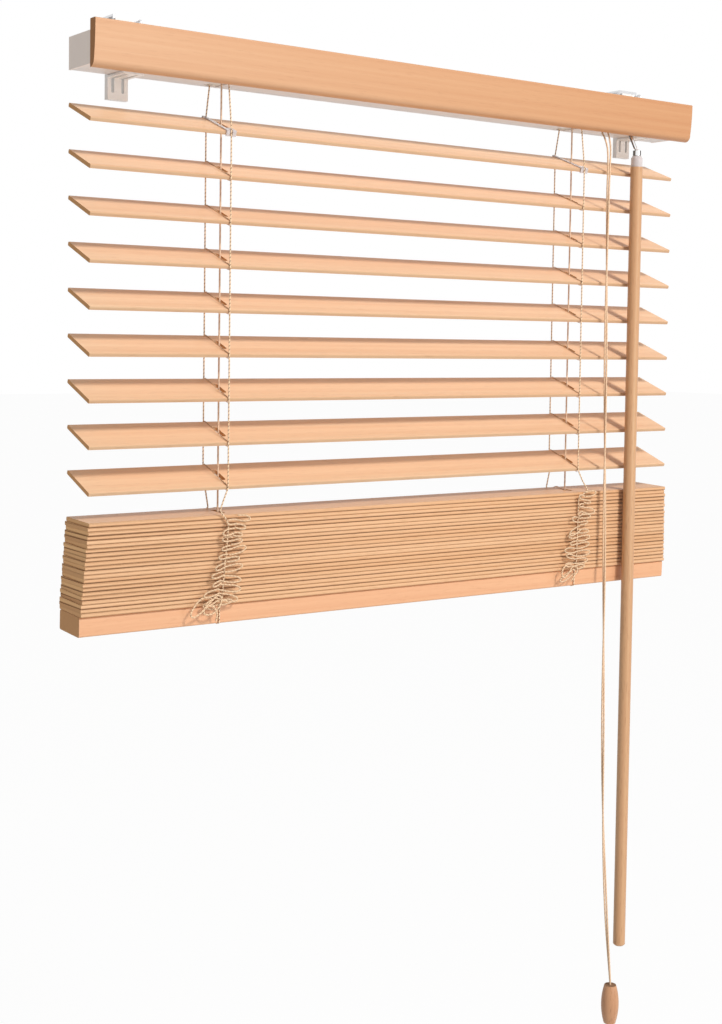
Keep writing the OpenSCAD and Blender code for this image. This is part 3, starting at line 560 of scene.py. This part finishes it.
NODE_FINISH = {
    "headrail": white_paint, "end_caps": cap_moulding, "bracket_left": white_moulding,
    "bracket_right": white_moulding, "drum_cradles": inner_moulding,
    "ladder_drums": inner_moulding, "tilter_housing": inner_moulding,
    "cord_lock": inner_moulding, "worm_wheel": inner_moulding, "valance_clips": clear_plastic,
    "wand_cap": clear_plastic, "slat_clips": clear_plastic, "sash_hooks": zinc_plate,
    "clamp_screws": zinc_plate, "tilt_rod": zinc_plate, "cord_lock_pawl": zinc_plate,
    "tilter_shaft": bright_chrome, "wand_socket": bright_chrome, "valance": valance_beech,
    "bottom_rail": rail_beech, "rail_plugs": rail_beech, "wand": wand_beech,
    "tassel": tassel_beech,
}


def finish_of(name):
    """The finish of a solid, or nothing for the cords, which finer pieces replace."""
    if name in NODE_FINISH:
        return NODE_FINISH[name]
    if name.startswith("stack_slat"):
        return shaded_stack_beech
    return slat_beech if "slat_" in name else None


def dress_nodes():
    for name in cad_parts:
        finish = finish_of(name)
        if finish:
            mesh = bpy.data.objects[name].data
            mesh.materials.clear()
            mesh.materials.append(finish)


dress_nodes()


# Geometry Nodes: a laid cord swept along curves, and bunches of slack loops

# Shares of a loop's reach and drop at which its two handles lie
LOOP_HANDLES = (("Start Handle", 1.30, -0.5), ("End Handle", 1.15, 2.2))
LOOP_SIZE = (0.55, 1.15)
LOOP_DEPTH = (0.5, 1.2)
LOOP_SWAY = (-0.32, 0.32)
TOP_WIDTH = 0.8
WIDTH_GROWTH = 0.5
LOOP_POINTS = 18
LOOP_RING_STEP = 0.0007
LOOP_RING_SIDES = 6
CURVE_POINTS = 12


def keep_value(tree, shape, name, value):
    """Store a value on a curve's points, for the materials to read."""
    made = put(tree, "GeometryNodeStoreNamedAttribute", data_type="FLOAT", domain="POINT")
    made.inputs["Name"].default_value = name
    join(tree, shape, made.inputs["Geometry"])
    join(tree, value, made.inputs["Value"])
    return made.outputs[0]


def lobed_ring(tree, into):
    """The cord's outline, a ring with a lobe for each strand."""
    circle = put(tree, "GeometryNodeCurvePrimitiveCircle", mode="RADIUS")
    join(tree, into["Ring sides"], circle.inputs["Resolution"])
    join(tree, into["Cord radius"], circle.inputs["Radius"])
    index = put(tree, "GeometryNodeInputIndex")
    share = math_step(tree, "DIVIDE", index.outputs[0], into["Ring sides"])
    angle = math_step(tree, "MULTIPLY", share, 2 * math.pi)
    angle = math_step(tree, "MULTIPLY", angle, into["Strands"])
    swell = math_step(tree, "SUBTRACT", math_step(tree, "COSINE", angle), 1.0)
    swell = math_step(tree, "MULTIPLY", swell, into["Strand depth"])
    swollen = put(tree, "ShaderNodeVectorMath", operation="SCALE")
    join(tree, put(tree, "GeometryNodeInputPosition").outputs[0], swollen.inputs[0])
    join(tree, math_step(tree, "ADD", swell, 1.0), swollen.inputs["Scale"])
    lobes = put(tree, "GeometryNodeSetPosition")
    join(tree, circle.outputs[0], lobes.inputs["Geometry"])
    join(tree, swollen.outputs[0], lobes.inputs["Position"])
    return keep_value(tree, lobes.outputs[0], "around", share)


def build_laid_cord():
    """A cord of twisted strands along each curve."""
    tree, into, out = new_group("laid_cord", "GeometryNodeTree", [
        ("INPUT", "Geometry", SHAPE, None),
        ("INPUT", "Cord radius", FLOAT, 0.0006),
        ("INPUT", "Strands", INT, 2),
        ("INPUT", "Strand depth", FLOAT, 0.14),
        ("INPUT", "Twist per metre", FLOAT, 2400.0),
        ("INPUT", "Ring step", FLOAT, 0.0004),
        ("INPUT", "Ring sides", INT, 8),
        ("INPUT", "Finish", FINISH, None),
        ("OUTPUT", "Geometry", SHAPE, None)])
    rings = put(tree, "GeometryNodeResampleCurve", mode="LENGTH")
    join(tree, into.outputs["Geometry"], rings.inputs["Curve"])
    join(tree, into.outputs["Ring step"], rings.inputs["Length"])
    along = put(tree, "GeometryNodeSplineParameter").outputs["Length"]
    twist = math_step(tree, "MULTIPLY", along, into.outputs["Twist per metre"])
    tilt = put(tree, "GeometryNodeSetCurveTilt")
    join(tree, rings.outputs[0], tilt.inputs["Curve"])
    join(tree, twist, tilt.inputs["Tilt"])
    tube = put(tree, "GeometryNodeCurveToMesh")
    tube.inputs["Fill Caps"].default_value = True
    join(tree, keep_value(tree, tilt.outputs[0], "along", along), tube.inputs["Curve"])
    join(tree, lobed_ring(tree, into.outputs), tube.inputs["Profile Curve"])
    smooth = put(tree, "GeometryNodeSetShadeSmooth")
    join(tree, tube.outputs[0], smooth.inputs[0])
    solid = put(tree, "GeometryNodeRealizeInstances")
    join(tree, smooth.outputs[0], solid.inputs[0])
    finish = put(tree, "GeometryNodeSetMaterial")
    join(tree, solid.outputs[0], finish.inputs["Geometry"])
    join(tree, into.outputs["Finish"], finish.inputs["Material"])
    join(tree, finish.outputs[0], out.inputs["Geometry"])
    return tree


LAID_CORD = build_laid_cord()


def draw_between(tree, low, high, seed, shift):
    """A random value for each loop, from a seed of its own."""
    made = put(tree, "FunctionNodeRandomValue", data_type="FLOAT")
    made.inputs[2].default_value = low
    made.inputs[3].default_value = high
    join(tree, math_step(tree, "ADD", seed, shift), made.inputs["Seed"])
    return made.outputs[1]


def one_loop(tree, into):
    """A loop that leaves to one side, falls, and comes back one step below its start."""
    loop = put(tree, "GeometryNodeCurvePrimitiveBezierSegment", mode="POSITION")
    loop.inputs["Resolution"].default_value = LOOP_POINTS
    loop.inputs["Start"].default_value = (0, 0, 0)
    fall = math_step(tree, "MULTIPLY", into["Loop drop"], -1.0)
    for label, side, lift in LOOP_HANDLES:
        handle = put(tree, "ShaderNodeCombineXYZ")
        join(tree, math_step(tree, "MULTIPLY", into["Loop reach"], side), handle.inputs["X"])
        join(tree, into["Loop stand-off"], handle.inputs["Y"])
        join(tree, math_step(tree, "MULTIPLY", fall, lift), handle.inputs["Z"])
        join(tree, handle.outputs[0], loop.inputs[label])
    join(tree, into["Loop step"], loop.inputs["End"])
    return loop.outputs[0]


def build_slack_bunch():
    """Loops of slack cord, one below the other, to the left and right in turn, of random size."""
    tree, into, out = new_group("slack_bunch", "GeometryNodeTree", [
        ("INPUT", "Geometry", SHAPE, None),
        ("INPUT", "Loops", INT, GATHERED),
        ("INPUT", "Loop step", VECTOR, None),
        ("INPUT", "First loop", VECTOR, None),
        ("INPUT", "Loop reach", FLOAT, 0.012),
        ("INPUT", "Loop drop", FLOAT, 0.010),
        ("INPUT", "Loop stand-off", FLOAT, 0.003),
        ("INPUT", "Seed", INT, 3),
        ("INPUT", "Cord radius", FLOAT, 0.0006),
        ("INPUT", "Finish", FINISH, None),
        ("OUTPUT", "Geometry", SHAPE, None)])
    line = put(tree, "GeometryNodeMeshLine", mode="OFFSET")
    join(tree, into.outputs["Loops"], line.inputs["Count"])
    join(tree, into.outputs["First loop"], line.inputs["Start Location"])
    join(tree, into.outputs["Loop step"], line.inputs["Offset"])
    size = draw_between(tree, *LOOP_SIZE, into.outputs["Seed"], 0)
    deep = draw_between(tree, *LOOP_DEPTH, into.outputs["Seed"], 7)
    sway = draw_between(tree, *LOOP_SWAY, into.outputs["Seed"], 23)
    count = put(tree, "GeometryNodeInputIndex").outputs[0]
    odd = math_step(tree, "MODULO", count, 2.0)
    mirror = math_step(tree, "SUBTRACT", 1.0, math_step(tree, "MULTIPLY", odd, 2.0))
    lower = math_step(tree, "DIVIDE", count, into.outputs["Loops"])
    wide = math_step(tree, "MULTIPLY", lower, WIDTH_GROWTH)
    wide = math_step(tree, "MULTIPLY", size, math_step(tree, "ADD", wide, TOP_WIDTH))
    stretch = put(tree, "ShaderNodeCombineXYZ")
    join(tree, math_step(tree, "MULTIPLY", mirror, wide), stretch.inputs["X"])
    join(tree, deep, stretch.inputs["Y"])
    join(tree, size, stretch.inputs["Z"])
    lean = put(tree, "ShaderNodeCombineXYZ")
    join(tree, sway, lean.inputs["Y"])
    spread = put(tree, "GeometryNodeInstanceOnPoints")
    join(tree, line.outputs[0], spread.inputs["Points"])
    join(tree, one_loop(tree, into.outputs), spread.inputs["Instance"])
    join(tree, lean.outputs[0], spread.inputs["Rotation"])
    join(tree, stretch.outputs[0], spread.inputs["Scale"])
    real = put(tree, "GeometryNodeRealizeInstances")
    join(tree, spread.outputs[0], real.inputs[0])
    laid = put(tree, "GeometryNodeGroup", node_tree=LAID_CORD)
    join(tree, real.outputs[0], laid.inputs["Geometry"])
    join(tree, into.outputs["Cord radius"], laid.inputs["Cord radius"])
    join(tree, into.outputs["Finish"], laid.inputs["Finish"])
    laid.inputs["Ring step"].default_value = LOOP_RING_STEP
    laid.inputs["Ring sides"].default_value = LOOP_RING_SIDES
    join(tree, laid.outputs[0], out.inputs["Geometry"])
    return tree


SLACK_BUNCH = build_slack_bunch()


def grow(holder, tree, **values):
    """Run a tree on a holder object and return the mesh it makes."""
    bpy.context.scene.collection.objects.link(holder)
    modifier = holder.modifiers.new(tree.name, "NODES")
    modifier.node_group = tree
    for item in tree.interface.items_tree:
        if item.in_out == "INPUT" and item.name in values:
            modifier[item.identifier] = values[item.name]
    bpy.context.view_layer.update()
    seen = holder.evaluated_get(bpy.context.evaluated_depsgraph_get())
    mesh = bpy.data.meshes.new_from_object(seen)
    holder.modifiers.remove(modifier)
    bpy.data.objects.remove(holder)
    return mesh


def cord_lines(name, routes, smooth):
    """Curve with one spline for each route of points in millimetres."""
    data = bpy.data.curves.new(name, "CURVE")
    data.dimensions = "3D"
    for route in routes:
        if smooth:
            spline = data.splines.new("BEZIER")
            spline.bezier_points.add(len(route) - 1)
            spline.resolution_u = CURVE_POINTS
            for point, place in zip(spline.bezier_points, route):
                point.co = Vector(place) * MM
                point.handle_left_type = point.handle_right_type = "AUTO"
        else:
            spline = data.splines.new("POLY")
            spline.points.add(len(route) - 1)
            for point, place in zip(spline.points, route):
                point.co = (*(Vector(place) * MM), 1.0)
    return bpy.data.objects.new(name, data)


def lay_cords(name, routes, yarn, smooth=False, **lay):
    """Mesh of the cords that follow some routes."""
    return grow(cord_lines(name, routes, smooth), LAID_CORD, Finish=yarn, **lay)


def merge_meshes(name, meshes):
    """One object at the origin from several meshes."""
    parts = [bpy.data.objects.new(name, mesh) for mesh in meshes]
    for part in parts:
        bpy.context.scene.collection.objects.link(part)
    if len(parts) > 1:
        with bpy.context.temp_override(active_object=parts[0], selected_editable_objects=parts):
            bpy.ops.object.join()
    parts[0].name = name
    return parts[0]


# Cords and gathered slats

def let_out(piece):
    """A cord hung from the headrail, with its place baked into its mesh."""
    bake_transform(piece)


def lower_cord(x, edge, aside):
    """A ladder cord from the stack's top to the rail's underside.

    It stays clear of the slats both at rest and let out, where the blend's smooth step has
    carried each point down by its share of the travel.
    """
    lean = lean_at(x)
    height = STACK_TOP - RAIL_Z
    pick = min if edge < 0 else max
    route = [(x + aside, SLAT_Y + edge * SLACK_REACH + CORD_SETBACK, STACK_TOP + 1)]
    for n in range(1, LOWER_STEPS - 1):
        t = n / LOWER_STEPS
        hung = (height * t + RAIL_TRAVEL * t * t * (3 - 2 * t)) / (height + RAIL_TRAVEL)
        y = SLAT_Y + edge * LOWER_REACH + lean * pick(t, hung)
        route.append((x, y, STACK_TOP - height * t))
    front = SLAT_Y + lean + edge * (RAIL_DEPTH / 2 + CORD_CLEAR)
    below = RAIL_Z - RAIL_HEIGHT / 2 - CORD_CLEAR
    return route + [(x, front, RAIL_Z + TUCK), (x, front, below + 1),
                    (x, front - edge * TUCK, below)]


def make_slack(side):
    """The slack loops before and behind the stack, and at its foot."""
    x = LADDER_X[side]
    height = STACK_TOP - RAIL_Z - SLACK_SHORT
    meshes = []
    for edge in (-1, 1):
        start = (x + SLACK_ASIDE, SLAT_Y + edge * SLACK_REACH + LOOP_SETBACK, STACK_TOP - 1)
        step = Vector((-2 * SLACK_ASIDE, lean_at(x), -height)) * MM / GATHERED
        holder = bpy.data.objects.new("slack", bpy.data.meshes.new("slack"))
        seed = 5 + 3 * edge + len(side)
        values = {"First loop": Vector(start) * MM, "Loop step": step,
                  "Loop stand-off": edge * LOOP_STAND_OFF * MM, "Loop reach": LOOP_REACH * MM,
                  "Loop drop": LOOP_DROP * MM, "Seed": seed,
                  "Finish": slack_yarn}
        meshes.append(grow(holder, SLACK_BUNCH, **values, **SLACK_LAY))
    foot = Vector((x - SLACK_ASIDE, SLAT_Y - SLACK_REACH + lean_at(x), RAIL_Z + FOOT_RISE))
    tail = [tuple(foot + Vector(p)) for p in FOOT_LOOPS[side]]
    meshes.append(lay_cords("foot_loops", [tail], slack_yarn, True, **SLACK_LAY))
    slack = merge_meshes(f"slack_loops_{side}", meshes)
    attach(slack, "headrail")
    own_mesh(slack)


def make_ladder(side):
    """The front and the back cord of a ladder, from its drum down to the rail."""
    x = LADDER_X[side]
    routes = []
    for edge in (-1, 1):
        first = slat_height(1) + edge * EDGE_RISE
        last = slat_height(HANGING) + edge * EDGE_RISE
        guide = SLAT_Y + edge * GUIDE_REACH
        y = SLAT_Y + edge * LADDER_REACH
        *swerves, top = LADDER_DRIFT[side][edge]
        route = [(x, SLAT_Y + edge * DRUM_REACH, 0), (x, guide, GUIDE_TOP), (x, guide, GUIDE_FOOT),
                 (x, y, first + SLAT_THICK), (x, y, last)]
        route += [(x + aside, SLAT_Y + edge * (SLACK_REACH - short), last - down)
                  for aside, (short, down) in zip(swerves, SWERVE)]
        routes.append(route + lower_cord(x, edge, top))
    web = merge_meshes(f"ladder_web_{side}", [lay_cords("ladder_edges", routes, ladder_yarn)])
    let_out(web)
    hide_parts(f"ladder_{side}")


def make_rungs(k):
    """The double rungs of both ladders, with one slat between their threads."""
    turn = Euler((SLAT_TILT, 0, 0)).to_matrix()
    middle = Vector((0, SLAT_Y, slat_height(k)))
    routes = []
    for x in LADDER_X.values():
        for away, bend, ease in RUNG_THREADS:
            line = [(0, -RUNG_REACH, away + ease), (0, bend - RUNG_REACH, away),
                    (0, RUNG_REACH - bend, away), (0, RUNG_REACH, away + ease)]
            routes.append([tuple(middle + Vector((x, 0, 0)) + turn @ Vector(p)) for p in line])
    mesh = lay_cords("rungs", routes, slack_yarn, **RUNG_LAY)
    rungs = merge_meshes(f"ladder_rungs_{k:02d}", [mesh])
    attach(rungs, f"slat_{k:02d}")


def make_lift_cords():
    """The lift cords, from the rail up through the slots and along the headrail to the lock."""
    routes = []
    for side, ladder in LADDER_X.items():
        x = ladder + LIFT_ASIDE
        route = [(x, SLAT_Y + lean_at(ladder), RAIL_Z), (x, SLAT_Y, STACK_TOP)]
        route += [(x + along, SLAT_Y, z) for along, z in LIFT_BEND]
        route += [(along, y, LIFT_Z) for along, y in LIFT_RUN[side]]
        routes.append(route)
    lifts = merge_meshes("lift_cord_pair", [lay_cords("lifts", routes, lift_yarn, **LIFT_LAY)])
    let_out(lifts)
    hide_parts("lift_cords")


def smooth_route(points, step):
    """Points of a smooth curve through a route, evenly spaced, in millimetres."""
    places = [Vector(p) for p in points]
    line = []
    for i in range(len(places) - 1):
        a, b, c = places[max(i - 1, 0)], places[i], places[i + 1]
        d = places[min(i + 2, len(places) - 1)]
        count = max(2, round((c - b).length / step))
        lean_b = (c - a) * (c - b).length / max((b - a).length + (c - b).length, 1e-6)
        lean_c = (d - b) * (c - b).length / max((c - b).length + (d - c).length, 1e-6)
        for n in range(count):
            t = n / count
            line.append((2 * t ** 3 - 3 * t ** 2 + 1) * b + (t ** 3 - 2 * t ** 2 + t) * lean_b
                        + (3 * t ** 2 - 2 * t ** 3) * c + (t ** 3 - t ** 2) * lean_c)
    line.append(places[-1])
    return line


def twist_pair(line):
    """Two strands that start side by side along a line and then twist round it."""
    strands = [[], []]
    run = 0.0
    for i, place in enumerate(line):
        if i:
            run += (place - line[i - 1]).length
        ahead = (line[min(i + 1, len(line) - 1)] - line[max(i - 1, 0)]).normalized()
        across = Vector((1, 0, 0)) - ahead * ahead.x
        across.normalize()
        aside = ahead.cross(across)
        turn = FIRST_TURN + max(0.0, run - TWIST_START) / TWIST_LENGTH * 2 * math.pi
        part = max(0.0, 1.0 - run / PARTED_LENGTH)
        gap = PULL_GAP + PULL_PARTING * part * part
        for strand, sign in zip(strands, (-1, 1)):
            strand.append(place + sign * gap * (math.cos(turn) * across + math.sin(turn) * aside))
    return strands


def make_pull_cords():
    """Two pull cords that come out of the lock side by side and twist together."""
    line = smooth_route([(LOCK_X + x, y, z) for x, y, z in PULL_POINTS], PULL_STEP)
    mesh = lay_cords("pulls", twist_pair(line), pull_yarn, **PULL_LAY)
    pulls = merge_meshes("pull_cord_pair", [mesh])
    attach(pulls, "headrail")
    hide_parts("pull_cord")
    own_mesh(pulls)


def make_gathered_slat(k):
    """A gathered slat pushed nearer to its neighbours' ends than its solid is."""
    node = f"stack_slat_{k:02d}"
    mesh = bpy.data.objects[node].data.copy()
    welded = bmesh.new()
    welded.from_mesh(mesh)
    bmesh.ops.remove_doubles(welded, verts=welded.verts, dist=WELD * MM)
    welded.to_mesh(mesh)
    welded.free()
    along, deep = (math.sin(math.radians(turn * k)) for turn in SCATTER_TURNS)
    mesh.transform(Matrix.Translation(-STACK_EVENED * MM * Vector((along, deep / 2, 0))))
    slat = bpy.data.objects.new(f"gathered_slat_{k:02d}", mesh)
    bpy.context.scene.collection.objects.link(slat)
    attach(slat, node)
    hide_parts(node)


make_pull_cords()
make_lift_cords()
for k in range(1, GATHERED + 1):
    make_gathered_slat(k)
for side in LADDER_X:
    make_ladder(side)
    make_slack(side)
for k in range(1, HANGING + 1):
    make_rungs(k)


# Stage

FLOOR_HALF = 24.0
FLOOR_Z = -1.20
FLOOR_GLOW = 0.96
# Colour and strength of the light from all round, and of what is seen behind the blind
ROOM_LIGHT = (1.0, 0.965, 0.93, 1), 0.36
BACKDROP = (1, 1, 1, 1), 1.0
# Place, size, power and colour, in metres and watts
LAMPS = {
    "key_window": ((0.4, -3.25, 2.5), 0.7, 130, (1.0, 0.97, 0.94)),
    "low_fill": ((0.6, -2.6, -0.25), 1.2, 14, (1.0, 0.97, 0.93))}
LAMP_AIM = (0, -0.03, -0.2)


def seen_directly(tree):
    """1 for rays from the camera, from gloss and through glass."""
    ray = put(tree, "ShaderNodeLightPath").outputs
    seen = math_step(tree, "MAXIMUM", ray["Is Camera Ray"], ray["Is Transmission Ray"])
    return math_step(tree, "MAXIMUM", seen, ray["Is Glossy Ray"])


def mix_shaders(tree, share, first, second):
    made = put(tree, "ShaderNodeMixShader")
    for place, source in enumerate((share, first, second)):
        join(tree, source, made.inputs[place])
    return made.outputs[0]


def background(tree, colour, strength):
    made = put(tree, "ShaderNodeBackground")
    made.inputs["Color"].default_value = colour
    made.inputs["Strength"].default_value = strength
    return made.outputs[0]


def pale_floor():
    mesh = bpy.data.meshes.new("pale_floor")
    corners = [(x * FLOOR_HALF, y * FLOOR_HALF, FLOOR_Z)
               for x, y in ((-1, -1), (1, -1), (1, 1), (-1, 1))]
    mesh.from_pydata(corners, [], [(0, 1, 2, 3)])
    floor = bpy.data.objects.new("pale_floor", mesh)
    bpy.context.scene.collection.objects.link(floor)
    made, tree, shader = start_material("floor_paint")
    shader.inputs["Base Color"].default_value = (0.9, 0.9, 0.9, 1)
    shader.inputs["Roughness"].default_value = 0.9
    glow = put(tree, "ShaderNodeEmission")
    share = math_step(tree, "MULTIPLY", seen_directly(tree), FLOOR_GLOW)
    mixed = mix_shaders(tree, share, shader.outputs[0], glow.outputs[0])
    join(tree, mixed, tree.nodes["Material Output"].inputs["Surface"])
    mesh.materials.append(made)


def light_room():
    scene = bpy.context.scene
    scene.view_settings.view_transform = "Standard"
    world = bpy.data.worlds.new("soft_room")
    scene.world = world
    world.use_nodes = True
    tree = world.node_tree
    tree.nodes.clear()
    room, white = (background(tree, *light) for light in (ROOM_LIGHT, BACKDROP))
    out = put(tree, "ShaderNodeOutputWorld")
    join(tree, mix_shaders(tree, seen_directly(tree), room, white), out.inputs[0])
    for name, (place, size, power, colour) in LAMPS.items():
        data = bpy.data.lights.new(name, "AREA")
        data.shape = "SQUARE"
        data.size = size
        data.energy = power
        data.color = colour
        lamp = bpy.data.objects.new(name, data)
        lamp.location = place
        aim = Vector(LAMP_AIM) - Vector(place)
        lamp.rotation_euler = aim.to_track_quat("-Z", "Y").to_euler()
        scene.collection.objects.link(lamp)


pale_floor()
light_room()
